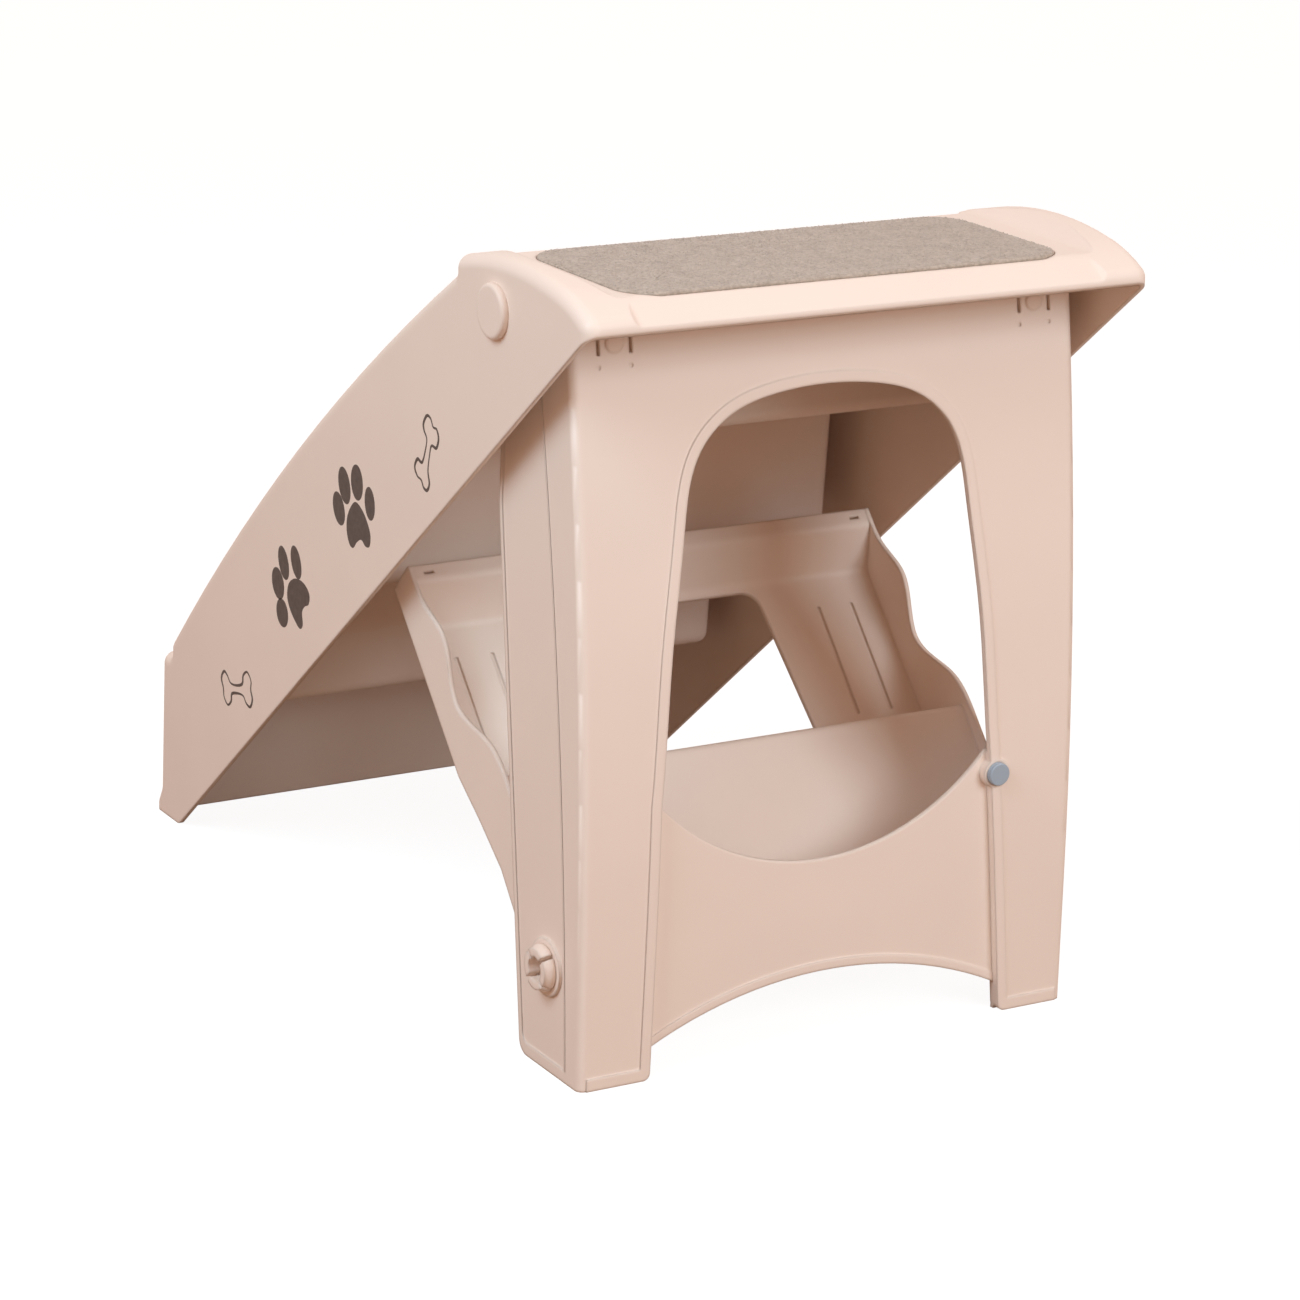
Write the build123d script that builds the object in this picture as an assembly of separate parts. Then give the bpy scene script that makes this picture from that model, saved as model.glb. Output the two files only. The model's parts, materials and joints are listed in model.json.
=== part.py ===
from build123d import *
import math
import os

# Folding pet stairs seen from behind: a moulded stair shell, an arched rear leg on two capped pins,
# a brace panel between the leg and the underside of the treads, four mats and a round push button.
# X runs across the stairs, +Y points to the rear (the leg), Z is up.
# The origin is on the floor, midway between the toes and the tip of the lip.

# Overall sizes
overall_length = 625.0
shell_width = 392.0
platform_height = 490.0
wall = 3.0
overrun = 20.0
match_gap = 0.02

# Steps: each nose hangs a little over its riser, and each riser leans back as it rises
step_count = 4
top_step_rise = 124.0
platform_depth = 165.0
first_nose_setback = 13.0
riser_front_lean = 5.0
riser_back_lean = 3.0
nose_lip_depth = 12.0
nose_lip_slope = 5.0
nose_radius = 9.0
root_radius = 8.0
side_cove_radius = 7.0
side_channel_width = 27.0

# Rear lip of the top platform
lip_bend_setback = 17.5
lip_fall = 13.8
lip_bend_radius = 14.0

# Side guards, drawn in (Y, Z); the corners are drawn sharp and rounded afterwards
guard_round = 9.0
foot_length = 42.0
heel_radius = 8.0
toe_height = 7.0
toe_flare_depth = 7.0
toe_flare_height = 19.0
toe_flare_radius = 8.0
low_notch_depth = 15.0
low_notch_rise = 9.5
crest_bulge = 17.5
top_notch_drop = 10.6
notch_radius = 3.0
crown_peak_setback = 70.0
crown_rise = 10.0
crown_shoulder_setback = 35.5
crown_shoulder_rise = 4.4
crown_shoulder_slope = -0.2
crown_end_drop = 10.0
tip_drop = 16.7
guard_outer_radius = 8.5
guard_inner_radius = 5.5

# Inner side of the guards beside the platform: a hollow curve that turns into a round one
ridge_foot_inset = 33.0
ridge_top_inset = 10.0
ridge_height = 10.2
ridge_foot_radius = 11.0

# Mats
mat_side_gap = 14.0
mat_side_shift = 4.5
mat_front_gap = 13.0
mat_root_gap = 20.0
mat_lip_gap = 17.5
mat_corner = 24.0
mat_thickness = 3.0
mat_sink = 1.0
mat_clearance = 0.4

# Hinge of the rear leg
hinge_setback = 85.0
hinge_drop = 23.0
hinge_shaft_radius = 7.5
hinge_running_gap = 0.08
hinge_fit_gap = 0.02
hinge_boss_radius = 14.0
hinge_side_gap = 0.5
cap_radius = 16.8
cap_height = 4.6
cap_round = 2.2
pin_barb_radius = 8.6
pin_barb_length = 5.0
pin_tip_radius = 6.2
pin_tip_length = 4.0
pin_slot_width = 2.2
pin_bore_radius = 3.6

# Rear leg
leg_side_gap = 19.0
leg_rear_setback = 25.5
leg_bow_radius = 2500.0
leg_bow_start = 80.0
leg_top_gap = 0.5
leg_foot_depth = 76.0
leg_foot_round = 10.0
leg_front_top_depth = 113.0
leg_front_top_height = 343.0
leg_ear_radius = 24.0
leg_corner_round = 5.0
leg_recess = 5.0

# Opening of the leg, a little off the middle because the column with the button is the wider one.
# The points of the arch are (in from the edge of the opening at the panel, down from the arch's top)
opening_middle = 4.8
column_foot_width = 49.0
column_width = 58.8
column_top_height = 175.0
arch_points = ((7.6, 152.0), (17.2, 80.0), (29.9, 32.2), (52.0, 12.2), (83.8, 2.7))
arch_top_gap = 67.7
bowl_height = 122.0
cut_end_height = 18.0
cut_top_height = 48.5
foot_corner_round = 5.0

# Rims and creases on the leg
rim_height = 0.8
opening_rim_width = 7.0
cut_rim_width = 6.0
foot_rim_height = 8.0
side_recess = 0.8
side_rim_width = 3.5
bead_width = 1.6
bead_height = 0.5
bead_low_setback = 17.0
bead_high_setback = 39.0

# Snap tabs at the top of the leg
tab_setback = 29.2
tab_width = 21.8
tab_slot_width = 2.2
tab_slot_length = 38.0
tab_bump_radius = 6.0
tab_bump_height = 1.6
tab_bump_drop = 31.5
tab_bump_round = 1.4
tab_dot_radius = 1.2
tab_dot_drop = 7.0
tab_dot_depth = 0.6

# Brace pivot in the leg
stud_setback = 43.0
stud_height = 67.0
stud_radius = 13.0
stud_running_gap = 0.08
stud_fit_gap = 0.02
stud_bore_radius = 7.8
stud_collar_radius = 16.0
stud_collar_length = 2.5
stud_barb_radius = 14.8
stud_barb_gap = 0.3
stud_barb_length = 2.6
stud_tip_radius = 12.2
stud_tip_length = 4.4
stud_slot_width = 2.6
stud_slot_angle = 45.0
stud_slot_count = 4
stud_boss_radius = 18.3
stud_boss_height = 1.2

# Brace panel, drawn in (place down the slope, height off its front line)
brace_slope = 47.1
brace_side_gap = 1.0
brace_pivot_place = 280.9
brace_pivot_depth = 36.7
brace_reach = 284.0
brace_hub_radius = 38.5
brace_web_points = ((9.0, 26.5), (31.0, 3.0), (146.0, 3.0), (158.0, 50.5), (250.0, 46.0))
brace_web_end = 262.0
brace_web_end_depth = 42.0
brace_bend_radii = (8.0, 8.0, 10.0, 5.0, 60.0)
flange_rear_points = (
    (5.0, 26.8), (22.0, 28.0), (56.0, 39.3), (93.0, 26.5), (138.0, 52.0), (178.0, 56.2), (225.0, 58.0)
)
flange_front_points = ((236.0, 12.0), (205.0, 14.0), (168.0, 7.7), (134.0, 0.0))
window_top_margin = 93.0
window_low_margin = 85.0
window_top_place = 36.0
window_low_place = 153.0
window_depth = 46.0
window_corner = 12.0
groove_margins = (50.3, 24.6)
groove_width = 2.2
groove_depth = 1.2
groove_start = 54.0
groove_end = 134.0
slot_margin = 13.4
slot_length = 7.0
slot_width = 1.8
slot_place = 3.0

# Lock button
button_setback = 5.6
button_height = 161.0
button_radius = 7.3
button_running_gap = 0.08
button_stand = 3.6
button_travel = 3.0
button_edge_round = 0.8
button_pad_radius = 9.4
button_pad_stand = 1.0
button_collar_radius = 8.8
button_collar_length = 2.0
button_bore_reach = 50.0

# Places worked out from the sizes above
toe_y = -overall_length / 2
tip_y = overall_length / 2
half_width = shell_width / 2
stair_half_width = half_width - side_channel_width
guard_inner = stair_half_width - wall
first_nose_y = toe_y + first_nose_setback
top_nose_y = tip_y - platform_depth
step_run = (top_nose_y - first_nose_y) / (step_count - 1)
step_rise = (platform_height - top_step_rise) / (step_count - 1)
mat_half_width = guard_inner - mat_side_gap
crest_start = (first_nose_y + low_notch_depth, step_rise + low_notch_rise)
crest_end = (top_nose_y, platform_height - top_notch_drop)
crown_peak = (top_nose_y + crown_peak_setback, platform_height + crown_rise)
crown_shoulder = (tip_y - crown_shoulder_setback, platform_height + crown_shoulder_rise)
crown_end = (tip_y, platform_height - crown_end_drop)
tip_height = platform_height - tip_drop
leg_half = half_width - leg_side_gap
leg_rear_y = tip_y - leg_rear_setback
leg_top_height = platform_height - wall - leg_top_gap
hinge_y = leg_rear_y - hinge_setback
hinge_height = platform_height - hinge_drop
stud_y = leg_rear_y - stud_setback
column_inner_foot = leg_half - column_foot_width
column_inner_top = leg_half - column_width
arch_top_height = leg_top_height - arch_top_gap
tab_middle = leg_half - tab_setback
tab_slot_bottom = leg_top_height - tab_slot_length
tab_bump_z = leg_top_height - tab_bump_drop
brace_half = leg_half - wall - brace_side_gap
button_x = opening_middle - column_inner_top - button_setback
sky = platform_height + overrun
slope_down = Vector(0, math.cos(math.radians(brace_slope)), -math.sin(math.radians(brace_slope)))
slope_out = Vector(0, math.sin(math.radians(brace_slope)), math.cos(math.radians(brace_slope)))
stud_place = Vector(0, stud_y, stud_height)
brace_origin = stud_place - slope_down * brace_pivot_place - slope_out * brace_pivot_depth


def along_x(face, low, high):
    """Solid that a (Y, Z) face sweeps from X = low to X = high."""
    return extrude(Plane.YZ.offset(low) * face, amount=high - low)


def along_y(face, low, high):
    """Solid that an (X, Z) face sweeps from Y = low to Y = high."""
    plane = Plane(origin=(0, high, 0), x_dir=(1, 0, 0), z_dir=(0, -1, 0))
    return extrude(plane * face, amount=high - low)


def along_brace(face, low, high):
    """Solid that a face drawn in the brace's side view sweeps from X = low to X = high."""
    plane = Plane(origin=brace_origin + Vector(low, 0, 0), x_dir=slope_down, z_dir=(1, 0, 0))
    return extrude(plane * face, amount=high - low)


def block(x_low, x_high, y_low, y_high, z_low, z_high):
    box = Box(x_high - x_low, y_high - y_low, z_high - z_low, align=Align.MIN)
    return Pos(x_low, y_low, z_low) * box


def rod_x(radius, x_low, x_high, y, z):
    """Cylinder that lies along X."""
    rod = Cylinder(radius, x_high - x_low, align=(Align.CENTER, Align.CENTER, Align.MIN))
    return Pos(x_low, y, z) * Rot(0, 90, 0) * rod


def rod_y(radius, y_low, y_high, x, z):
    """Cylinder that lies along Y."""
    rod = Cylinder(radius, y_high - y_low, align=(Align.CENTER, Align.CENTER, Align.MIN))
    return Pos(x, y_low, z) * Rot(-90, 0, 0) * rod


def rounded(face, corners):
    """The face with the corner nearest each point rounded to the radius given with it."""
    for point, radius in corners:
        corner = face.vertices().sort_by_distance((point[0], point[1], 0)).first
        face = fillet(corner, radius)
    return face


def with_mirror(solid):
    return solid + mirror(solid, about=Plane.YZ)


def single(shape):
    """The one solid of a shape that has just one."""
    return shape.solids()[0]


def guard_outline(inset):
    """Side view of the guards, drawn smaller by inset and reaching on below their lower edge.

    The outside has a flared toe; the smaller outline for the hollow goes straight down there."""
    flare = (toe_y + toe_flare_depth, toe_flare_height)
    low_nose = (first_nose_y, step_rise)
    low_notch = (first_nose_y + low_notch_depth, step_rise)
    top_nose = (top_nose_y, platform_height)
    heel = (toe_y + foot_length, -overrun)
    tip = (tip_y, tip_height - overrun)
    corners = [(low_notch, notch_radius), (crest_end, notch_radius)]
    toe = [(flare[0], -overrun)]
    if inset == 0:
        toe = [(toe_y, -overrun), (toe_y, toe_height), flare]
        corners.append((flare, toe_flare_radius))
    front = Polyline(heel, *toe, low_nose, low_notch, crest_start)
    crest = SagittaArc(crest_start, crest_end, crest_bulge)
    nose = Polyline(crest_end, top_nose)
    crown = ThreePointArc(top_nose, crown_peak, crown_shoulder)
    fall = TangentArc(crown_shoulder, crown_end, tangent=(1, crown_shoulder_slope))
    lower = Polyline(crown_end, tip, heel)
    face = rounded(make_face(front + crest + nose + crown + fall + lower), corners)
    return offset(offset(face, amount=-guard_round), amount=guard_round - inset)


def under_outline():
    """Side view of everything under the floor and under the guards' sloping lower edge."""
    heel_y = toe_y + foot_length
    heel = (heel_y, 0)
    end_y = tip_y + overrun
    deep = -2 * overrun
    points = [(toe_y - overrun, 0), heel, (end_y, lower_edge_height(end_y)), (end_y, deep), (toe_y - overrun, deep)]
    return rounded(make_face(Polyline(points, close=True)), [(heel, heel_radius)])


def walking_space(grow):
    """Side view of the space above the treads, the risers and the platform, made larger by grow."""
    start_y = toe_y - overrun
    end_y = tip_y + overrun
    points = [(start_y, step_rise - grow)]
    corners = []
    for step in range(1, step_count):
        nose_y = first_nose_y + step * step_run + grow
        low = tread_height(step) - grow
        high = tread_height(step + 1) - grow
        root = (nose_y - riser_front_lean, low)
        nose = (nose_y, high)
        lip_height = high - nose_lip_depth
        points += [root, (nose_y + riser_back_lean, lip_height - nose_lip_slope), (nose_y, lip_height), nose]
        corners += [(root, root_radius + grow), (nose, nose_radius - grow)]
    bend = (tip_y - lip_bend_setback, platform_height - grow)
    lip_slope = lip_fall / lip_bend_setback
    end_height = platform_height - grow - lip_slope * (lip_bend_setback + overrun)
    points += [bend, (end_y, end_height), (end_y, sky), (start_y, sky)]
    corners.append((bend, lip_bend_radius))
    return rounded(make_face(Polyline(points, close=True)), corners)


def ridge_space(grow):
    """Rear view of the space over the platform and the inner sides of the guards, larger by grow."""
    foot_x = half_width - ridge_foot_inset
    top_x = half_width - ridge_top_inset
    width = top_x - foot_x
    turn = 2 * math.atan(ridge_height / width)
    foot_radius = ridge_foot_radius + grow
    foot = (foot_x, platform_height - grow)
    middle = (foot_x + foot_radius * math.sin(turn), foot[1] + foot_radius * (1 - math.cos(turn)))
    top = (top_x, foot[1] + ridge_height)
    hollow_curve = TangentArc(foot, middle, tangent=(1, 0))
    round_curve = TangentArc(top, middle, tangent=(-1, 0))
    outer = Polyline(top, (top_x, sky + overrun), (0, sky + overrun), (0, foot[1]), foot)
    half = make_face(hollow_curve + round_curve + outer)
    return half + mirror(half, about=Plane.YZ)


def lower_edge_height(y):
    heel_y = toe_y + foot_length
    return (y - heel_y) / (tip_y - heel_y) * tip_height


def side_edges(solid, x):
    """Edges at X = x and -x that run round the front and the top of the guards."""
    chosen = []
    for edge in solid.edges().filter_by(lambda e: abs(abs(e.center().X) - x) < match_gap):
        middle = edge @ 0.5
        if middle.Z > max(lower_edge_height(middle.Y), 0) + toe_flare_height / 2 and middle.Y < tip_y - wall:
            chosen.append(edge)
    return chosen


def lower_side_edges(solid, x):
    """Edges at X = x and -x along the treads, the risers and the platform."""
    chosen = []
    for edge in solid.edges().filter_by(lambda e: abs(abs(e.center().X) - x) < match_gap):
        middle = edge @ 0.5
        inside = toe_y - wall < middle.Y < tip_y + wall
        if inside and middle.Z < sky - wall:
            chosen.append(edge)
    return chosen


def mat_depth(step):
    if step == step_count:
        return platform_depth - mat_front_gap - mat_lip_gap
    return step_run - riser_front_lean - mat_front_gap - mat_root_gap


def mat_face(step, grow):
    face = Rectangle(2 * (mat_half_width + grow), mat_depth(step) + 2 * grow)
    return fillet(face.vertices(), mat_corner + grow)


def tread_height(step):
    if step == step_count:
        return platform_height
    return step * step_rise


def mat_place(step):
    """Centre of the seat of one mat, on the tread with this number."""
    front = first_nose_y + (step - 1) * step_run + mat_front_gap
    return Pos(mat_side_shift, front + mat_depth(step) / 2, tread_height(step) - mat_sink)


def build_shell():
    body = along_x(guard_outline(0), -half_width, half_width)
    body = fillet(side_edges(body, half_width), guard_outer_radius)
    body -= along_x(under_outline(), -half_width - overrun, half_width + overrun)
    hollow_half = half_width - wall
    hollow = along_x(guard_outline(wall), -hollow_half, hollow_half)
    hollow = fillet(side_edges(hollow, hollow_half), guard_inner_radius)
    above = along_x(walking_space(0), -guard_inner, guard_inner)
    above = fillet(lower_side_edges(above, guard_inner), side_cove_radius)
    box = along_x(walking_space(wall), -stair_half_width, stair_half_width)
    box = fillet(lower_side_edges(box, stair_half_width), side_cove_radius)
    hollow -= box
    hollow -= along_y(ridge_space(wall), toe_y, tip_y + overrun)
    shell = body - hollow - above
    shell -= along_y(ridge_space(0), toe_y, tip_y + overrun)
    for step in range(1, step_count + 1):
        shell -= mat_place(step) * extrude(mat_face(step, mat_clearance), amount=step_rise / 2)
    boss = rod_x(hinge_boss_radius, leg_half + hinge_side_gap, hollow_half, hinge_y, hinge_height)
    shell += with_mirror(boss)
    bore = rod_x(hinge_shaft_radius + hinge_fit_gap, leg_half, half_width, hinge_y, hinge_height)
    return single(shell - with_mirror(bore))


def build_mat(step):
    mat = extrude(mat_face(step, 0), amount=mat_thickness)
    return mat_place(step) * mat


def build_hinge_pin():
    """Left pin: cap outside the guard, shaft through the guard and the leg, split snap end inside."""
    leg_inner = leg_half - wall
    snap_start = leg_inner - pin_barb_length - hinge_side_gap
    cap = rod_x(cap_radius, half_width, half_width + cap_height, hinge_y, hinge_height)
    cap = fillet(cap.edges().group_by(Axis.X)[-1], cap_round)
    shaft = rod_x(hinge_shaft_radius, snap_start, half_width, hinge_y, hinge_height)
    barb = rod_x(pin_barb_radius, snap_start, leg_inner - hinge_side_gap, hinge_y, hinge_height)
    barb = chamfer(barb.edges().group_by(Axis.X)[0], pin_barb_radius - hinge_shaft_radius)
    tip = rod_x(pin_tip_radius, snap_start - pin_tip_length, snap_start, hinge_y, hinge_height)
    pin = cap + shaft + barb + tip
    tip_x = snap_start - pin_tip_length
    pin -= rod_x(pin_bore_radius, tip_x, leg_half, hinge_y, hinge_height)
    slot_low = hinge_height - pin_slot_width / 2
    slot_high = hinge_height + pin_slot_width / 2
    return pin - block(tip_x, leg_half, hinge_y - cap_radius, hinge_y + cap_radius, slot_low, slot_high)


def leg_rear(z):
    """Y of the leg's rear face at this height."""
    rise = max(z - leg_bow_start, 0)
    return leg_rear_y - leg_bow_radius + math.sqrt(leg_bow_radius ** 2 - rise ** 2)


def rear_line(shift, high):
    """The leg's rear face in side view, moved forward by shift."""
    middle = (leg_bow_start + high) / 2
    low_part = Polyline((leg_rear_y - shift, 0), (leg_rear_y - shift, leg_bow_start))
    low_end = (leg_rear_y - shift, leg_bow_start)
    bow = ThreePointArc(low_end, (leg_rear(middle) - shift, middle), (leg_rear(high) - shift, high))
    return low_part + bow


def rear_slab(front_shift, rear_shift):
    """Everything between two copies of the rear face, each moved forward by its shift."""
    high = leg_top_height
    front = rear_line(front_shift, high)
    rear = rear_line(rear_shift, high)
    top = Polyline((leg_rear(high) - front_shift, high), (leg_rear(high) - rear_shift, high))
    floor = Polyline((leg_rear_y - front_shift, 0), (leg_rear_y - rear_shift, 0))
    return along_x(make_face(front + rear + top + floor), -leg_half, leg_half)


def leg_side_face():
    high = leg_top_height
    front_low = (leg_rear_y - leg_foot_depth, 0)
    front_high = (leg_rear_y - leg_front_top_depth, leg_front_top_height)
    ear_front = (hinge_y - leg_ear_radius, hinge_height)
    top_front = (hinge_y, high)
    front = Polyline((leg_rear_y, 0), front_low, front_high, ear_front, top_front, (leg_rear(high), high))
    face = make_face(rear_line(0, high) + front)
    face = rounded(face, [(front_low, leg_foot_round)])
    return face + Pos(hinge_y, hinge_height) * Circle(leg_ear_radius)


def bead_line(shift, low):
    """Three points up the crease in the side of the leg, from this height, moved to the front by shift."""
    high = hinge_height - leg_ear_radius
    middle = high / 2
    middle_setback = (bead_low_setback + bead_high_setback) / 2
    points = [(leg_rear_y - bead_low_setback - shift, low)]
    points.append((leg_rear(middle) - middle_setback - shift, middle))
    points.append((leg_rear(high) - bead_high_setback - shift, high))
    return points


def side_bead():
    """Side view of the thin raised bead along the crease."""
    front = bead_line(bead_width, foot_rim_height)
    rear = bead_line(0, foot_rim_height)
    ends = Polyline(front[-1], rear[-1]) + Polyline(front[0], rear[0])
    return make_face(ThreePointArc(*front) + ThreePointArc(*rear) + ends)


def side_panel_recess():
    """Side view of the shallow recess between the front rim, the foot rim and the bead."""
    front_shift = leg_foot_depth - side_rim_width
    high_shift = leg_front_top_depth - side_rim_width
    low_front = (leg_rear_y - front_shift, foot_rim_height)
    high_front = (leg_rear_y - high_shift, leg_front_top_height)
    ear_front = (hinge_y - leg_ear_radius + side_rim_width, hinge_height - leg_ear_radius)
    crease = bead_line(bead_width, foot_rim_height)
    rest = Polyline(crease[-1], ear_front, high_front, low_front, crease[0])
    face = make_face(ThreePointArc(*crease) + rest)
    return rounded(face, [(low_front, leg_foot_round - side_rim_width)])


def pushed_out(points, grow):
    """The points between the first and the last, each moved by grow square to the run of its neighbours."""
    moved = []
    for before, point, after in zip(points, points[1:], points[2:]):
        run = Vector(*after) - Vector(*before)
        side = Vector(run.Y, -run.X).normalized() * grow
        moved.append((point[0] + side.X, point[1] + side.Y))
    return moved


def opening_face(grow):
    """Rear view of the gap between the columns, with the arch above it, made wider by grow."""
    foot = (column_inner_foot + grow, 0)
    base_x = opening_middle + column_inner_top
    base = (base_x + grow, column_top_height)
    top = (opening_middle, arch_top_height + grow)
    run = [(base_x, column_top_height)]
    for inset, drop in arch_points:
        run.append((base_x - inset, arch_top_height - drop))
    run.append((opening_middle, arch_top_height))
    right = [base] + pushed_out(run, grow)
    left = [(2 * opening_middle - x, z) for x, z in reversed(right)]
    arch = Spline(right + [top] + left)
    wide = 2 * leg_half
    foot_left = (-foot[0], 0)
    floor = [foot_left, (-wide, 0), (-wide, -overrun), (wide, -overrun), (wide, 0), foot]
    face = make_face(arch + Polyline(left[-1], *floor, base))
    return rounded(face, [(foot, foot_corner_round), (foot_left, foot_corner_round)])


def bowl_face():
    """Rear view of what the curved upper edge of the centre panel leaves open."""
    left_x = opening_middle - column_inner_top
    right_x = opening_middle + column_inner_top
    left = (left_x, column_top_height)
    right = (right_x, column_top_height)
    bowl = ThreePointArc(left, (opening_middle, bowl_height), right)
    top = Polyline(right, (right_x, arch_top_height), (left_x, arch_top_height), left)
    return make_face(bowl + top)


def cut_face(rise):
    """Rear view of what the curved lower edge of the centre panel leaves open."""
    left = (-column_inner_foot, cut_end_height + rise)
    right = (column_inner_foot, cut_end_height + rise)
    cut = ThreePointArc(left, (0, cut_top_height + rise), right)
    below = Polyline(right, (column_inner_foot, -overrun), (-column_inner_foot, -overrun), left)
    return make_face(cut + below)


def build_leg():
    inner_half = leg_half - wall
    side = along_x(leg_side_face(), -leg_half, leg_half)
    rear_corners = []
    for edge in side.edges():
        middle = edge @ 0.5
        on_rear = abs(middle.Y - leg_rear(middle.Z)) < match_gap and abs(middle.X) > inner_half
        if on_rear and middle.Z > 0 and middle.Z < leg_top_height:
            rear_corners.append(edge)
    side = fillet(rear_corners, leg_corner_round)
    front = Polyline((leg_rear(sky) - wall, sky), (toe_y, sky), (toe_y, 0), (leg_rear_y - wall, 0))
    inside = along_x(make_face(rear_line(wall, sky) + front), -inner_half, inner_half)
    leg = side - inside

    gap = opening_face(0)
    flat = Pos(0, leg_top_height / 2) * Rectangle(2 * (leg_half - leg_corner_round), leg_top_height)
    foot_band = Pos(0, foot_rim_height / 2) * Rectangle(2 * (leg_half - leg_corner_round), foot_rim_height)
    lower_part = Pos(0, column_top_height / 2) * Rectangle(2 * leg_half, column_top_height)
    rim = (opening_face(opening_rim_width) & flat) + foot_band
    leg += rear_slab(wall / 2, -rim_height) & along_y(rim, 0, tip_y)
    returns = opening_face(wall) & lower_part
    leg += rear_slab(leg_recess + wall, wall / 2) & along_y(returns, 0, tip_y)
    leg -= along_y(gap, leg_rear_y - leg_front_top_depth, leg_rear_y + overrun)

    panel = (gap & lower_part) - bowl_face() - cut_face(0)
    leg += rear_slab(leg_recess + wall, leg_recess) & along_y(panel, 0, tip_y)
    cut_rim = panel & cut_face(cut_rim_width)
    leg += rear_slab(leg_recess + wall / 2, leg_recess - rim_height) & along_y(cut_rim, 0, tip_y)

    recess = along_x(side_panel_recess(), leg_half - side_recess, leg_half + overrun)
    boss_end = leg_half + stud_boss_height
    recess -= rod_x(stud_boss_radius, leg_half - wall, boss_end, stud_y, stud_height)
    leg -= with_mirror(recess)
    leg += with_mirror(along_x(side_bead(), leg_half - wall / 2, leg_half + bead_height))
    boss = rod_x(stud_boss_radius, leg_half - wall / 2, boss_end, stud_y, stud_height)
    leg += with_mirror(boss)
    stud_bore = rod_x(stud_radius + stud_running_gap, inner_half - wall, boss_end, stud_y, stud_height)
    pin_bore = rod_x(hinge_shaft_radius + hinge_running_gap, inner_half - wall, boss_end, hinge_y, hinge_height)
    leg -= with_mirror(stud_bore + pin_bore)

    for x in (tab_middle, -tab_middle):
        slot_span = (tab_width / 2, -tab_width / 2)
        for shift in slot_span:
            low_x = x + shift - tab_slot_width / 2
            low_y = leg_rear(leg_top_height) - 2 * wall
            leg -= block(low_x, low_x + tab_slot_width, low_y, leg_rear_y, tab_slot_bottom, sky)
            dot_z = tab_slot_bottom - tab_dot_drop
            dot_y = leg_rear(dot_z)
            leg -= rod_y(tab_dot_radius, dot_y - tab_dot_depth, leg_rear_y, x + shift, dot_z)
        bump_y = leg_rear(tab_bump_z)
        bump = rod_y(tab_bump_radius, bump_y - wall / 2, bump_y + tab_bump_height, x, tab_bump_z)
        leg += fillet(bump.edges().group_by(Axis.Y)[-1], tab_bump_round)

    leg += button_pad()
    return single(leg - button_bore())


def button_face_y():
    return leg_rear(button_height) + rim_height


def button_back_y():
    return leg_rear(button_height) - leg_recess - wall - button_pad_stand


def button_pad():
    return rod_y(button_pad_radius, button_back_y(), button_face_y(), button_x, button_height)


def button_bore():
    radius = button_radius + button_running_gap
    return rod_y(radius, leg_rear_y - button_bore_reach, tip_y, button_x, button_height)


def build_button():
    """Round button that slides in the pad, held from behind by its own collar."""
    collar_end = button_back_y() - button_running_gap
    collar_start = collar_end - button_collar_length
    rear = button_face_y() + button_stand
    plunger = rod_y(button_radius, collar_start, rear, button_x, button_height)
    plunger = fillet(plunger.edges().group_by(Axis.Y)[-1], button_edge_round)
    collar = rod_y(button_collar_radius, collar_start, collar_end, button_x, button_height)
    return plunger + collar


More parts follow.
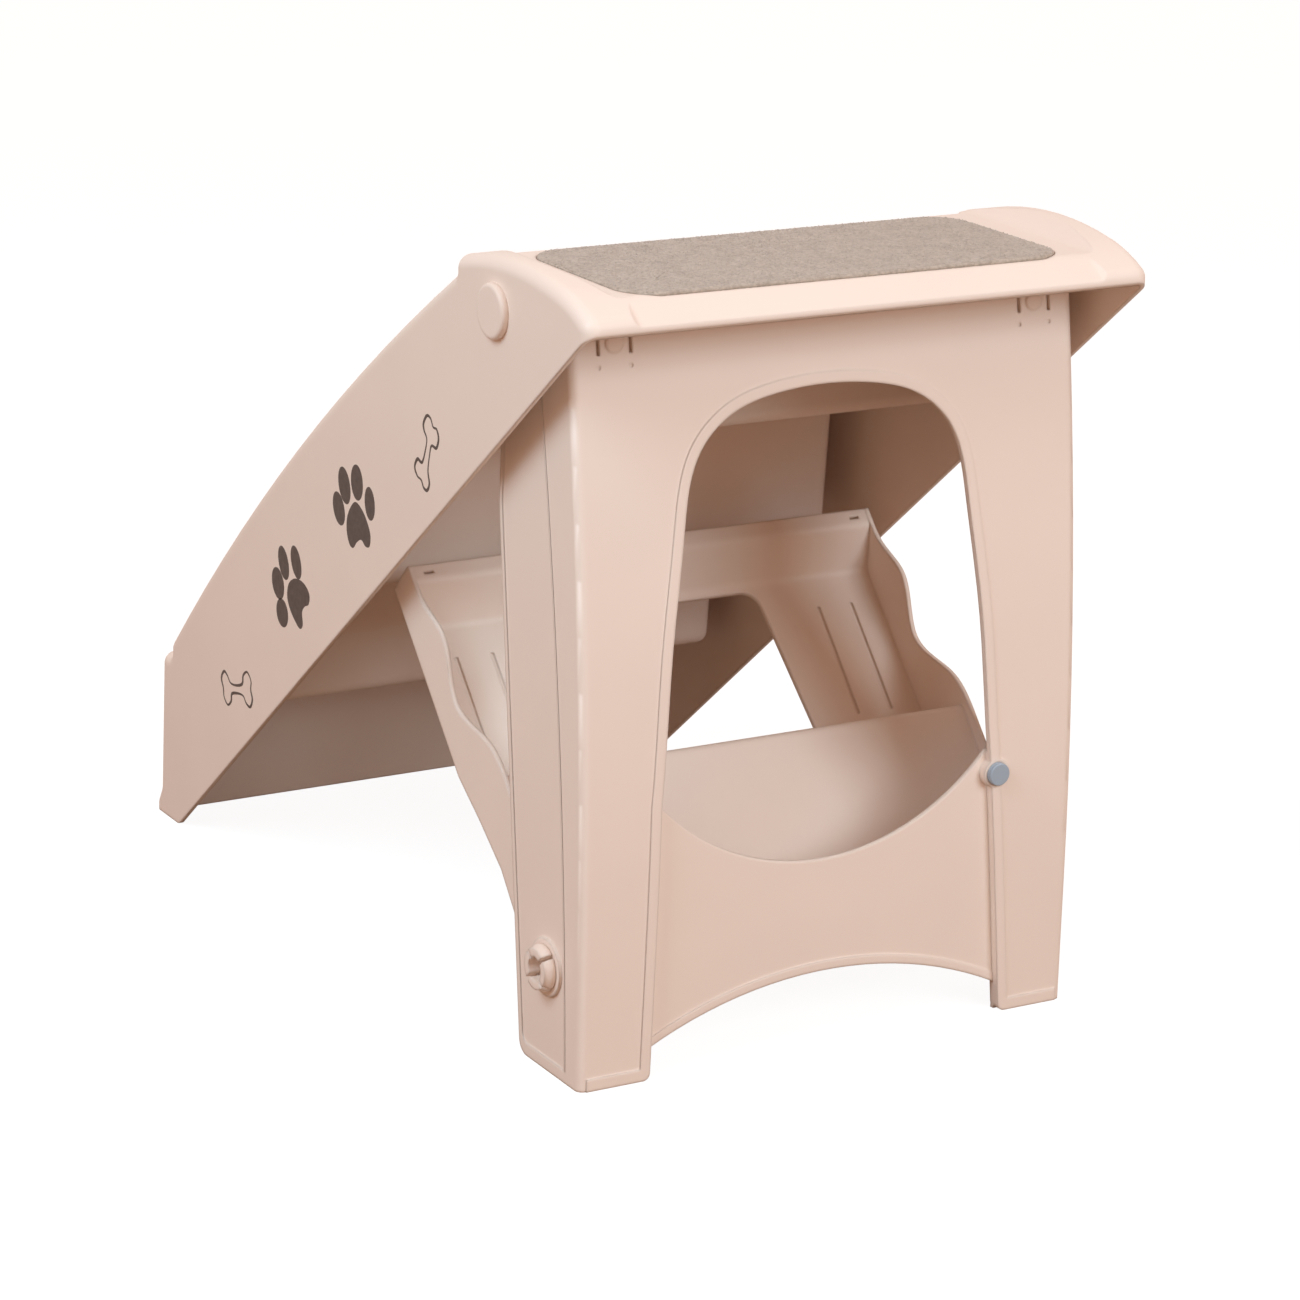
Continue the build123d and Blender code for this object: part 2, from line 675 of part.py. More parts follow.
def build_brace():
    pivot = (brace_pivot_place, brace_pivot_depth)
    reach = Pos(*pivot) * Circle(brace_reach)
    top_rear = (-overrun, flange_rear_points[0][1])
    rear_points = [top_rear] + list(flange_rear_points)
    front_points = list(flange_front_points) + [(-overrun, 0)]
    end_rear = (brace_pivot_place, brace_pivot_depth + brace_hub_radius / 2)
    hub_front = (brace_pivot_place, brace_pivot_depth - brace_hub_radius / 2)
    rear_edge = Spline(rear_points)
    front_edge = Polyline(rear_points[-1], end_rear, hub_front, *front_points, top_rear)
    outline = make_face(rear_edge + front_edge)
    outline = outline + Pos(*pivot) * Circle(brace_hub_radius)
    outline = outline & reach
    flange_low = brace_half - wall
    flange = along_brace(outline, flange_low, brace_half)

    start = (-overrun, brace_web_points[0][1])
    far = 2 * brace_pivot_place
    rear_depth = 4 * brace_pivot_depth
    end = (far, brace_web_end_depth)
    rear_corners = [(far, rear_depth), (-overrun, rear_depth)]
    behind = make_face(Polyline(start, *brace_web_points, end, *rear_corners, close=True))
    behind = rounded(behind, list(zip(brace_web_points, brace_bend_radii)))
    web = offset(behind, amount=wall) - behind
    web_length = brace_web_end + overrun
    keep = Pos(web_length / 2 - overrun, brace_pivot_depth) * Rectangle(web_length, 2 * brace_pivot_depth)
    web = web & keep & reach
    brace = along_brace(web, -flange_low, flange_low) + with_mirror(flange)

    slope_plane = Plane(origin=brace_origin - slope_out * overrun, x_dir=(1, 0, 0), z_dir=slope_out)
    top_half = brace_half - window_top_margin
    low_half = brace_half - window_low_margin
    window_points = [(-top_half, window_top_place), (top_half, window_top_place)]
    window_points += [(low_half, window_low_place), (-low_half, window_low_place)]
    window = make_face(Polyline(window_points, close=True))
    window = fillet(window.vertices(), window_corner)
    brace -= extrude(slope_plane * window, amount=overrun + window_depth)

    groove_floor = overrun + brace_web_points[1][1] - groove_depth
    groove_middle = (groove_start + groove_end) / 2
    for margin in groove_margins:
        groove = Pos(brace_half - margin, groove_middle) * Rectangle(groove_width, groove_end - groove_start)
        cutter = extrude(slope_plane.offset(groove_floor) * groove, amount=2 * groove_depth)
        brace -= with_mirror(cutter)
    slot = Pos(brace_half - slot_margin, slot_place) * Rectangle(slot_length, slot_width)
    brace -= with_mirror(extrude(slope_plane * slot, amount=2 * brace_pivot_depth))

    bore = rod_x(stud_radius + stud_fit_gap, flange_low - wall, leg_half, stud_y, stud_height)
    return single(brace - with_mirror(bore))


def build_stud():
    """Left stud: collar inside the brace's flange, split snap ring outside the leg."""
    flange_low = brace_half - wall
    barb_start = leg_half + stud_boss_height + stud_barb_gap
    barb_end = barb_start + stud_barb_length
    tip_end = barb_end + stud_tip_length
    collar_start = flange_low - stud_collar_length
    collar = rod_x(stud_collar_radius, collar_start, flange_low, stud_y, stud_height)
    shaft = rod_x(stud_radius, flange_low, tip_end, stud_y, stud_height)
    barb = rod_x(stud_barb_radius, barb_start, tip_end, stud_y, stud_height)
    tip_edge = barb.edges().group_by(Axis.X)[-1]
    barb = chamfer(tip_edge, stud_tip_length, stud_barb_radius - stud_tip_radius)
    stud = collar + shaft + barb
    stud -= rod_x(stud_bore_radius, collar_start, tip_end, stud_y, stud_height)
    turn = 180 / stud_slot_count * 2
    slot = block(leg_half, tip_end, 0, 2 * stud_radius, -stud_slot_width / 2, stud_slot_width / 2)
    for index in range(stud_slot_count):
        stud -= Pos(0, stud_y, stud_height) * Rot(stud_slot_angle + index * turn, 0, 0) * slot
    return stud


def other_side(shape):
    return mirror(shape, about=Plane.YZ)


def build_all():
    pin = build_hinge_pin()
    stud = build_stud()
    parts = {
        "stair_shell": build_shell(),
        "hinge_pin_left": single(pin),
        "hinge_pin_right": single(other_side(pin)),
        "rear_leg": build_leg(),
        "brace_panel": build_brace(),
        "brace_stud_left": single(stud),
        "brace_stud_right": single(other_side(stud)),
        "lock_button": single(build_button()),
    }
    for step in range(1, step_count + 1):
        parts[f"tread_mat_{step}"] = single(build_mat(step))
    return parts


if __name__ == "__main__":
    os.makedirs("parts", exist_ok=True)
    for name, shape in build_all().items():
        export_step(shape, f"parts/{name}.step")
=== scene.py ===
import bpy
import json
import math
import random
from mathutils import Matrix, Vector

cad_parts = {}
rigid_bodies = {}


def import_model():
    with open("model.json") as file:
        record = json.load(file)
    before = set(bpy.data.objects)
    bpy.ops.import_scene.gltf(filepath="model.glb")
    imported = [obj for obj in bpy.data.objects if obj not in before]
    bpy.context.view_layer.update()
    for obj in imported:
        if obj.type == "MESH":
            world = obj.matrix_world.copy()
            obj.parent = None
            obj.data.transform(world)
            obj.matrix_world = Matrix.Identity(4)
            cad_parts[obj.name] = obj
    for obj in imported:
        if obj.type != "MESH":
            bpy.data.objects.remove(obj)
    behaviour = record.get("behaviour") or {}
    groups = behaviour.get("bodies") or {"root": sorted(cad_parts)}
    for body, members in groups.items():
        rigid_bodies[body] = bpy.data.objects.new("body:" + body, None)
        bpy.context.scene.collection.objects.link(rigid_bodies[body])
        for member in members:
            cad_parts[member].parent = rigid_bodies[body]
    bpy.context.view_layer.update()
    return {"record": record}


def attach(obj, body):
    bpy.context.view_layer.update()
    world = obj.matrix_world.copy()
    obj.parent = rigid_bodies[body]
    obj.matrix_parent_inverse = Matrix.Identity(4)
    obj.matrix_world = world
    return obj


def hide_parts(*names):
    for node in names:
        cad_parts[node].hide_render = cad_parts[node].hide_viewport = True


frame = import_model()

MM = 0.001

# The treads, from the lowest step to the platform, in millimetres
STEP_RUN = 149.0
TREAD_HEIGHTS = (122.0, 244.0, 366.0, 490.0)
SEAT_SINK = 1.0

# Carpet mats, in millimetres
MAT_HALF_WIDTH = 152.0
MAT_MIDDLE_X = 4.5
MAT_DEPTHS = (111.0, 111.0, 111.0, 134.5)
MAT_CORNER = 24.0
FIRST_MAT_FRONT = -299.5 + 13.0
MAT_EDGE = ((1.6, 0.0), (0.5, 0.15), (0.2, 1.2), (0.5, 2.0), (1.3, 2.45))
MAT_TOP = 2.5
TOP_START = 2.9
TOP_STEP = 2.0
TOP_END_GAP = 1.0
UNEVENNESS = 0.15
UNEVEN_SHARE = 0.2
MAT_SEED = 70

# Tufts of pile, in millimetres
TUFT_SPACING = 2.1
TUFT_SCATTER = 0.8
TUFT_EDGE_GAP = 0.9
TUFT_ROOT = 2.1
TUFT_WIDTH = (0.75, 1.15)
TUFT_LEAN = (0.2, 0.9)
TUFT_TIP = (2.75, 3.1)

# Prints on the guards' outer faces, in millimetres from the middle
PANEL_X = 196.0
PRINT_LOW = PANEL_X - 0.15
PRINT_HIGH = PANEL_X + 0.1


# Materials

def new_material(name):
    """A material with its node tree and its main shader."""
    material = bpy.data.materials.new(name)
    material.use_nodes = True
    tree = material.node_tree
    shader = tree.nodes["Principled BSDF"]
    return material, tree, shader


def object_noise(tree, scale, detail, roughness=0.5):
    """Noise that is fixed to the piece."""
    place = tree.nodes.new("ShaderNodeTexCoord")
    noise = tree.nodes.new("ShaderNodeTexNoise")
    noise.inputs["Scale"].default_value = scale
    noise.inputs["Detail"].default_value = detail
    noise.inputs["Roughness"].default_value = roughness
    tree.links.new(place.outputs["Object"], noise.inputs["Vector"])
    return noise


def colour_ramp(tree, source, low, high, start=0.35, end=0.65):
    """A blend from one colour to another along a value."""
    ramp = tree.nodes.new("ShaderNodeValToRGB")
    ramp.color_ramp.elements[0].position = start
    ramp.color_ramp.elements[0].color = (*low, 1)
    ramp.color_ramp.elements[1].position = end
    ramp.color_ramp.elements[1].color = (*high, 1)
    tree.links.new(source, ramp.inputs["Fac"])
    return ramp


def add_bump(tree, shader, source, strength, distance):
    """Fine relief from a value; the distance is in metres."""
    bump = tree.nodes.new("ShaderNodeBump")
    bump.inputs["Strength"].default_value = strength
    bump.inputs["Distance"].default_value = distance
    tree.links.new(source, bump.inputs["Height"])
    tree.links.new(bump.outputs["Normal"], shader.inputs["Normal"])
    return bump


def moulded_plastic(name, colour, spread, rough_low, rough_high, edge_round):
    """Satin moulded plastic: faint mottling in colour and gloss, fine grain and soft edges."""
    material, tree, shader = new_material(name)
    mottle = object_noise(tree, scale=14.0, detail=3.0)
    low = tuple(c * (1 - spread) for c in colour)
    high = tuple(min(1, c * (1 + spread)) for c in colour)
    ramp = colour_ramp(tree, mottle.outputs["Fac"], low, high)
    tree.links.new(ramp.outputs["Color"], shader.inputs["Base Color"])
    gloss = tree.nodes.new("ShaderNodeMapRange")
    gloss.inputs["To Min"].default_value = rough_low
    gloss.inputs["To Max"].default_value = rough_high
    tree.links.new(mottle.outputs["Fac"], gloss.inputs["Value"])
    tree.links.new(gloss.outputs["Result"], shader.inputs["Roughness"])
    shader.inputs["Specular IOR Level"].default_value = 0.35
    grain = object_noise(tree, scale=1500.0, detail=2.0)
    bump = add_bump(tree, shader, grain.outputs["Fac"], strength=0.12, distance=0.00012)
    soft_edges = tree.nodes.new("ShaderNodeBevel")
    soft_edges.samples = 6
    soft_edges.inputs["Radius"].default_value = edge_round
    tree.links.new(soft_edges.outputs["Normal"], bump.inputs["Normal"])
    return material


def carpet(name, low, high):
    """Matt needle felt: fine fibres and wider patches in two tones."""
    material, tree, shader = new_material(name)
    fibres = object_noise(tree, scale=430.0, detail=3.0, roughness=0.6)
    patches = object_noise(tree, scale=75.0, detail=3.0, roughness=0.6)
    blend = tree.nodes.new("ShaderNodeMath")
    blend.operation = "ADD"
    for index, (noise, part) in enumerate(((fibres, 0.7), (patches, 0.3))):
        share = tree.nodes.new("ShaderNodeMath")
        share.operation = "MULTIPLY"
        share.inputs[1].default_value = part
        tree.links.new(noise.outputs["Fac"], share.inputs[0])
        tree.links.new(share.outputs["Value"], blend.inputs[index])
    ramp = colour_ramp(tree, blend.outputs["Value"], low, high, start=0.38, end=0.62)
    tree.links.new(ramp.outputs["Color"], shader.inputs["Base Color"])
    shader.inputs["Roughness"].default_value = 0.95
    shader.inputs["Specular IOR Level"].default_value = 0.1
    shader.inputs["Sheen Weight"].default_value = 0.25
    shader.inputs["Sheen Roughness"].default_value = 0.5
    add_bump(tree, shader, fibres.outputs["Fac"], strength=0.45, distance=0.0005)
    return material


def print_ink(name, colour):
    """Dull printing ink with a faint speckle."""
    material, tree, shader = new_material(name)
    speckle = object_noise(tree, scale=260.0, detail=3.0)
    low = tuple(c * 0.88 for c in colour)
    high = tuple(c * 1.12 for c in colour)
    ramp = colour_ramp(tree, speckle.outputs["Fac"], low, high)
    tree.links.new(ramp.outputs["Color"], shader.inputs["Base Color"])
    shader.inputs["Roughness"].default_value = 0.55
    return material


CREAM = moulded_plastic(
    "cream plastic", (0.9, 0.765, 0.67),
    spread=0.008, rough_low=0.42, rough_high=0.5, edge_round=0.0026,
)
BUTTON_GREY = moulded_plastic(
    "grey plastic", (0.365, 0.438, 0.514),
    spread=0.03, rough_low=0.38, rough_high=0.46, edge_round=0.0008,
)
CARPET = carpet("taupe carpet", low=(0.393, 0.33, 0.27), high=(0.556, 0.475, 0.40))
INK = print_ink("brown ink", (0.115, 0.085, 0.072))

SLOT_MATERIAL = {"shell_plastic": CREAM, "carpet": CARPET, "button_plastic": BUTTON_GREY}
for entry in frame["record"]["subparts"]:
    node = bpy.data.objects[entry["node"]]
    node.data.materials.clear()
    node.data.materials.append(SLOT_MATERIAL[entry["material_slot"]])


def add_mesh(name, vertices, faces, material, smooth=True):
    """A new piece from points in millimetres."""
    mesh = bpy.data.meshes.new(name)
    mesh.from_pydata([Vector(v) * MM for v in vertices], [], faces)
    mesh.validate()
    mesh.materials.append(material)
    mesh.polygons.foreach_set("use_smooth", [smooth] * len(mesh.polygons))
    piece = bpy.data.objects.new(name, mesh)
    bpy.context.scene.collection.objects.link(piece)
    return piece


# Carpet mats

def rounded_ring(half_x, half_y, corner, per_corner=14, per_long=140, per_short=34):
    """Points round a rectangle with round corners, the same number at every size."""
    corner = max(min(corner, half_x, half_y), 0.01)
    inner_x = half_x - corner
    inner_y = half_y - corner
    points = []
    quarters = ((1, 1, 0), (-1, 1, 90), (-1, -1, 180), (1, -1, 270))
    for index, (sx, sy, start) in enumerate(quarters):
        for step in range(per_corner):
            angle = math.radians(start + 90 * step / per_corner)
            x = sx * inner_x + corner * math.cos(angle)
            y = sy * inner_y + corner * math.sin(angle)
            points.append((x, y))
        end = math.radians(start + 90)
        first = (sx * inner_x + corner * math.cos(end), sy * inner_y + corner * math.sin(end))
        nx, ny, _ = quarters[(index + 1) % 4]
        last = (nx * inner_x + corner * math.cos(end), ny * inner_y + corner * math.sin(end))
        count = per_long if index % 2 == 0 else per_short
        for step in range(count):
            share = step / count
            x = first[0] + (last[0] - first[0]) * share
            y = first[1] + (last[1] - first[1]) * share
            points.append((x, y))
    return points


def mat_body(depth, middle_y, seat, rng):
    """The mat under its pile: a thick rounded edge and an uneven top that closes on a line."""
    profile = list(MAT_EDGE)
    inset = TOP_START
    while inset < depth / 2 - TOP_END_GAP:
        profile.append((inset, MAT_TOP))
        inset += TOP_STEP
    vertices = []
    for index, (shrink, height) in enumerate(profile):
        ring = rounded_ring(MAT_HALF_WIDTH - shrink, depth / 2 - shrink, MAT_CORNER - shrink)
        most = UNEVENNESS if index > 0 else 0.0
        for place, (x, y) in enumerate(ring):
            spacing = math.dist((x, y), ring[(place + 1) % len(ring)])
            shake = min(most, UNEVEN_SHARE * spacing)
            vertices.append((
                MAT_MIDDLE_X + x + rng.uniform(-shake, shake),
                middle_y + y + rng.uniform(-shake, shake),
                seat + height + rng.uniform(-shake, shake),
            ))
    count = len(ring)
    faces = [tuple(reversed(range(count)))]
    for level in range(len(profile) - 1):
        low = level * count
        high = low + count
        for index in range(count):
            after = (index + 1) % count
            faces.append((low + index, low + after, high + after, high + index))
    last = len(vertices) - count
    known = {}
    spine = []
    for x, _ in ring:
        key = round(x, 2)
        if key not in known:
            known[key] = len(vertices)
            vertices.append((MAT_MIDDLE_X + x, middle_y, seat + MAT_TOP))
        spine.append(known[key])
    for index in range(count):
        after = (index + 1) % count
        corners = (last + index, last + after, spine[after], spine[index])
        faces.append(tuple(dict.fromkeys(corners)))
    return vertices, faces


def add_tuft(vertices, faces, x, y, seat, rng):
    """A short tuft: a three-sided point with a leaning tip."""
    turn = rng.uniform(0, 2 * math.pi)
    width = rng.uniform(*TUFT_WIDTH)
    lean = rng.uniform(*TUFT_LEAN)
    lean_turn = rng.uniform(0, 2 * math.pi)
    tip = rng.uniform(*TUFT_TIP)
    start = len(vertices)
    for corner in range(3):
        angle = turn + corner * 2 * math.pi / 3
        root_x = x + width * math.cos(angle)
        root_y = y + width * math.sin(angle)
        vertices.append((root_x, root_y, seat + TUFT_ROOT))
    vertices.append((
        x + lean * math.cos(lean_turn), y + lean * math.sin(lean_turn), seat + tip
    ))
    faces.append((start, start + 1, start + 3))
    faces.append((start + 1, start + 2, start + 3))
    faces.append((start + 2, start, start + 3))
    faces.append((start + 2, start + 1, start))


def carpet_mat(name, step):
    """A rubber-backed carpet mat with short tufts all over its top."""
    depth = MAT_DEPTHS[step - 1]
    middle_y = FIRST_MAT_FRONT + (step - 1) * STEP_RUN + depth / 2
    seat = TREAD_HEIGHTS[step - 1] - SEAT_SINK
    rng = random.Random(MAT_SEED + step)
    vertices, faces = mat_body(depth, middle_y, seat, rng)
    columns = int(2 * MAT_HALF_WIDTH / TUFT_SPACING)
    rows = int(depth / TUFT_SPACING)
    for column in range(columns + 1):
        for row in range(rows + 1):
            x = -MAT_HALF_WIDTH + column * TUFT_SPACING + rng.uniform(-TUFT_SCATTER, TUFT_SCATTER)
            y = -depth / 2 + row * TUFT_SPACING + rng.uniform(-TUFT_SCATTER, TUFT_SCATTER)
            over_x = max(abs(x) - (MAT_HALF_WIDTH - MAT_CORNER), 0)
            over_y = max(abs(y) - (depth / 2 - MAT_CORNER), 0)
            if math.hypot(over_x, over_y) <= MAT_CORNER - TUFT_EDGE_GAP:
                add_tuft(vertices, faces, MAT_MIDDLE_X + x, middle_y + y, seat, rng)
    return add_mesh(name, vertices, faces, CARPET)


for step in range(1, len(TREAD_HEIGHTS) + 1):
    mat = carpet_mat(f"carpet_mat_{step}", step)
    node = f"tread_mat_{step}"
    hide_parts(node)
    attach(mat, "stairs")


# Printed paws and bones

def smooth_loop(points, per_span=8):
    """Points on a closed smooth curve through the given points."""
    loop = []
    count = len(points)
    for index in range(count):
        p0, p1, p2, p3 = (Vector(points[(index + k) % count]) for k in (-1, 0, 1, 2))
        for step in range(per_span):
            t = step / per_span
            loop.append(0.5 * (
                2 * p1 + (p2 - p0) * t + (2 * p0 - 5 * p1 + 4 * p2 - p3) * t * t
                + (3 * p1 - p0 - 3 * p2 + p3) * t * t * t
            ))
    return loop


def ellipse(centre, half_long, half_short, tilt, count=28):
    """Points round an ellipse with its long way tilted by some degrees."""
    angle = math.radians(tilt)
    long_way = Vector((math.cos(angle), math.sin(angle)))
    short_way = Vector((-math.sin(angle), math.cos(angle)))
    loop = []
    for step in range(count):
        turn = 2 * math.pi * step / count
        along = long_way * half_long * math.cos(turn)
        across = short_way * half_short * math.sin(turn)
        loop.append(Vector(centre) + along + across)
    return loop


def filled_print(loops, side):
    """Flat prints, one for each closed loop of (Y, Z) points."""
    vertices = []
    faces = []
    for loop in loops:
        start = len(vertices)
        count = len(loop)
        for x in (PRINT_LOW, PRINT_HIGH):
            vertices += [(side * x, p[0], p[1]) for p in loop]
        faces.append(tuple(range(start, start + count)))
        faces.append(tuple(range(start + 2 * count - 1, start + count - 1, -1)))
        for index in range(count):
            after = (index + 1) % count
            low = start + index
            low_after = start + after
            faces.append((low, low_after, low_after + count, low + count))
    return vertices, faces


def line_print(loop, widths, side):
    """A closed drawn line of varying width along a loop of (Y, Z) points."""
    vertices = []
    faces = []
    count = len(loop)
    for index in range(count):
        before = loop[index - 1]
        after = loop[(index + 1) % count]
        run = (after - before).normalized()
        out = Vector((run[1], -run[0]))
        half = widths[index] / 2
        inner = loop[index] - out * half
        outer = loop[index] + out * half
        for x in (PRINT_LOW, PRINT_HIGH):
            vertices.append((side * x, inner[0], inner[1]))
            vertices.append((side * x, outer[0], outer[1]))
    for index in range(count):
        a = 4 * index
        b = 4 * ((index + 1) % count)
        faces.append((a + 2, a + 3, b + 3, b + 2))
        faces.append((a, b, b + 1, a + 1))
        faces.append((a, a + 2, b + 2, b))
        faces.append((a + 1, b + 1, b + 3, a + 3))
    return vertices, faces


def wavy_widths(count, thin, thick, waves, shift):
    """Line widths that swell and thin round the loop, as a brush line does."""
    widths = []
    for index in range(count):
        swell = 0.5 + 0.5 * math.sin(2 * math.pi * (waves * index / count + shift))
        widths.append(thin + (thick - thin) * swell)
    return widths


def add_print(name, data, side_name):
    """A print on one guard; it stays with the stairs."""
    vertices, faces = data
    piece = add_mesh(f"{name}_{side_name}", vertices, faces, INK, smooth=False)
    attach(piece, "stairs")


# Paws: toes (centre, half length, half width, tilt) and the outline of the pad, in (Y, Z)
UPPER_TOES = (
    ((-9.0, 295.9), 11.2, 8.2, 118.0), ((-1.0, 313.0), 12.2, 8.4, 112.0),
    ((17.2, 319.2), 11.6, 8.6, 96.0), ((35.8, 309.8), 10.8, 7.2, 98.0),
)
UPPER_PAD = (
    (13.7, 305.6), (4.0, 295.0), (2.6, 284.5), (6.6, 276.4), (12.1, 275.0), (17.4, 280.0),
    (23.8, 283.2), (30.0, 280.4), (35.6, 281.8), (37.0, 289.0), (32.6, 296.5), (24.0, 303.6),
)
LOWER_TOES = (
    ((-101.8, 222.0), 11.0, 9.2, 118.0), ((-93.0, 238.3), 11.6, 7.6, 116.0),
    ((-73.6, 243.5), 11.4, 7.4, 116.0), ((-95.2, 203.3), 9.8, 9.0, 116.0),
)
LOWER_PAD = (
    (-77.4, 231.4), (-85.6, 225.2), (-87.2, 216.0), (-82.4, 208.5), (-74.6, 202.6),
    (-67.6, 199.6), (-63.4, 203.4), (-64.4, 211.6), (-60.6, 216.6), (-54.4, 219.8),
    (-53.0, 226.0), (-57.6, 230.6), (-66.4, 233.0),
)

# Bones: the middle of the drawn line, in (Y, Z)
UPPER_BONE = (
    (114.4, 384.4), (110.0, 379.0), (110.6, 374.5), (114.4, 369.6), (112.2, 361.0),
    (108.2, 353.6), (102.2, 354.4), (98.4, 348.6), (102.0, 343.6), (107.4, 342.2),
    (110.8, 338.2), (115.4, 337.6), (118.4, 342.4), (116.4, 350.0), (118.0, 359.0),
    (120.8, 366.8), (127.4, 367.0), (130.2, 373.4), (127.6, 378.6), (122.8, 379.2),
    (119.4, 383.6),
)
LOWER_BONE = (
    (-190.2, 136.2), (-194.6, 130.2), (-191.6, 123.9), (-190.2, 117.6), (-184.2, 113.8),
    (-178.6, 118.0), (-177.2, 123.6), (-168.0, 126.6), (-158.8, 127.4), (-153.6, 123.6),
    (-147.2, 122.8), (-143.6, 129.0), (-146.2, 135.2), (-145.8, 141.6), (-152.0, 146.2),
    (-158.4, 142.0), (-160.2, 135.6), (-169.7, 131.8), (-179.4, 130.8), (-184.6, 134.6),
)

for side, side_name in ((1, "left"), (-1, "right")):
    for name, toes, pad in (("upper", UPPER_TOES, UPPER_PAD), ("lower", LOWER_TOES, LOWER_PAD)):
        loops = [ellipse(*toe) for toe in toes] + [smooth_loop(pad)]
        add_print(f"print_paw_{name}", filled_print(loops, side), side_name)
    for name, bone in (("upper", UPPER_BONE), ("lower", LOWER_BONE)):
        loop = smooth_loop(bone)
        widths = wavy_widths(len(loop), thin=1.3, thick=2.2, waves=4, shift=0.1)
        add_print(f"print_bone_{name}", line_print(loop, widths, side), side_name)


# Stage, light and camera

def white_for_camera(material, strength, keep_diffuse):
    """Floor that the camera sees as white paper, while its own colour lights the object."""
    tree = material.node_tree
    nodes = tree.nodes
    shader = nodes["Principled BSDF"]
    output = nodes["Material Output"]
    path = nodes.new("ShaderNodeLightPath")
    paper = nodes.new("ShaderNodeEmission")
    paper.inputs["Strength"].default_value = strength
    soft = nodes.new("ShaderNodeBsdfDiffuse")
    soft.inputs["Color"].default_value = (keep_diffuse, keep_diffuse, keep_diffuse, 1)
    seen = nodes.new("ShaderNodeAddShader")
    tree.links.new(paper.outputs["Emission"], seen.inputs[0])
    tree.links.new(soft.outputs["BSDF"], seen.inputs[1])
    mix = nodes.new("ShaderNodeMixShader")
    tree.links.new(path.outputs["Is Camera Ray"], mix.inputs["Fac"])
    tree.links.new(shader.outputs["BSDF"], mix.inputs[1])
    tree.links.new(seen.outputs["Shader"], mix.inputs[2])
    tree.links.new(mix.outputs["Shader"], output.inputs["Surface"])


floor_material, floor_tree, floor_shader = new_material("paper floor")
floor_noise = object_noise(floor_tree, scale=3.0, detail=2.0)
floor_ramp = colour_ramp(
    floor_tree, floor_noise.outputs["Fac"], low=(0.295, 0.185, 0.12), high=(0.315, 0.2, 0.135)
)
floor_tree.links.new(floor_ramp.outputs["Color"], floor_shader.inputs["Base Color"])
floor_shader.inputs["Roughness"].default_value = 0.9
white_for_camera(floor_material, strength=0.92, keep_diffuse=0.2)

bpy.ops.mesh.primitive_plane_add(size=40, location=(0, 0, 0))
floor = bpy.context.object
floor.name = "floor"
floor.data.materials.append(floor_material)

# The world: a warm fill for the object, plain white behind it and in its highlights
world = bpy.data.worlds.new("studio")
bpy.context.scene.world = world
world.use_nodes = True
world_tree = world.node_tree
background = world_tree.nodes["Background"]
background.inputs["Color"].default_value = (1, 0.6, 0.41, 1)
background.inputs["Strength"].default_value = 0.58
white = world_tree.nodes.new("ShaderNodeBackground")
white.inputs["Color"].default_value = (1, 1, 1, 1)
white.inputs["Strength"].default_value = 1.0
path = world_tree.nodes.new("ShaderNodeLightPath")
either = world_tree.nodes.new("ShaderNodeMath")
either.operation = "MAXIMUM"
mix = world_tree.nodes.new("ShaderNodeMixShader")
world_tree.links.new(path.outputs["Is Camera Ray"], either.inputs[0])
world_tree.links.new(path.outputs["Is Glossy Ray"], either.inputs[1])
world_tree.links.new(either.outputs["Value"], mix.inputs["Fac"])
world_tree.links.new(background.outputs["Background"], mix.inputs[1])
world_tree.links.new(white.outputs["Background"], mix.inputs[2])
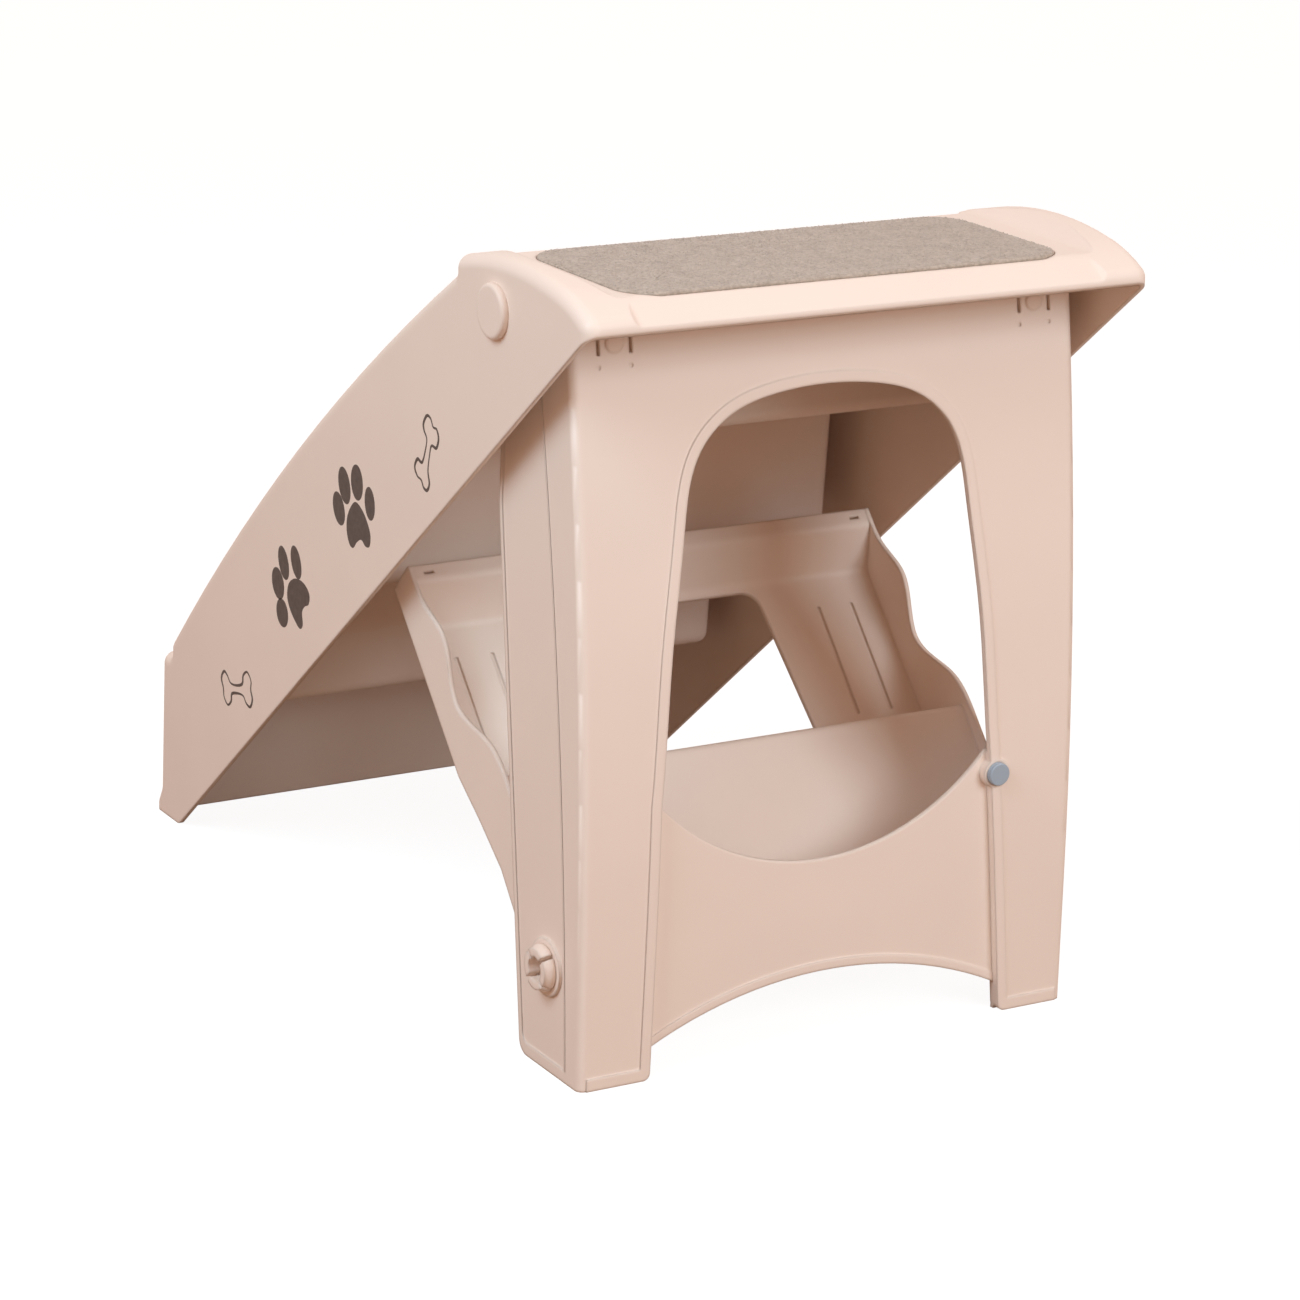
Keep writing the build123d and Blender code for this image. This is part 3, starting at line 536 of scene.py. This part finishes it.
world_tree.links.new(mix.outputs["Shader"], world_tree.nodes["World Output"].inputs["Surface"])


def area_light(name, place, target, width, height, power, colour):
    """A large soft lamp turned to a point on the object."""
    data = bpy.data.lights.new(name, "AREA")
    data.color = colour
    data.shape = "RECTANGLE"
    data.size = width
    data.size_y = height
    data.energy = power
    lamp = bpy.data.objects.new(name, data)
    lamp.location = place
    lamp.rotation_euler = (Vector(target) - Vector(place)).to_track_quat("-Z", "Y").to_euler()
    bpy.context.scene.collection.objects.link(lamp)


area_light(
    "behind camera", place=(-0.9, 3.0, 1.75), target=(0, 0.1, 0.3),
    width=1.9, height=1.5, power=58, colour=(0.745, 0.905, 1.0),
)
area_light(
    "from the side", place=(2.2, 0.55, 2.2), target=(0, 0.0, 0.3),
    width=1.6, height=1.6, power=56.5, colour=(0.62, 0.845, 1.0),
)

CAMERA_AZIMUTH = 149.933
CAMERA_ELEVATION = 16.840
CAMERA_ROLL = 1.428
CAMERA_PLACE = (1.3200, 2.3342, 0.9907)
FOCAL_PIXELS = 4190.38
PHOTO_PIXELS = 1300
SENSOR_MM = 36.0

azimuth = math.radians(CAMERA_AZIMUTH)
elevation = math.radians(CAMERA_ELEVATION)
roll = math.radians(CAMERA_ROLL)
back = Vector((
    math.sin(azimuth) * math.cos(elevation),
    -math.cos(azimuth) * math.cos(elevation),
    math.sin(elevation),
))
level_right = Vector((0, 0, 1)).cross(back).normalized()
level_up = back.cross(level_right)
right = math.cos(roll) * level_right + math.sin(roll) * level_up
up = -math.sin(roll) * level_right + math.cos(roll) * level_up

camera_data = bpy.data.cameras.new("camera")
camera_data.sensor_width = SENSOR_MM
camera_data.lens = FOCAL_PIXELS / PHOTO_PIXELS * SENSOR_MM
camera = bpy.data.objects.new("camera", camera_data)
turn = Matrix((right, up, back)).transposed().to_4x4()
camera.matrix_world = Matrix.Translation(CAMERA_PLACE) @ turn
bpy.context.scene.collection.objects.link(camera)
bpy.context.scene.camera = camera
bpy.context.scene.view_settings.view_transform = "Standard"
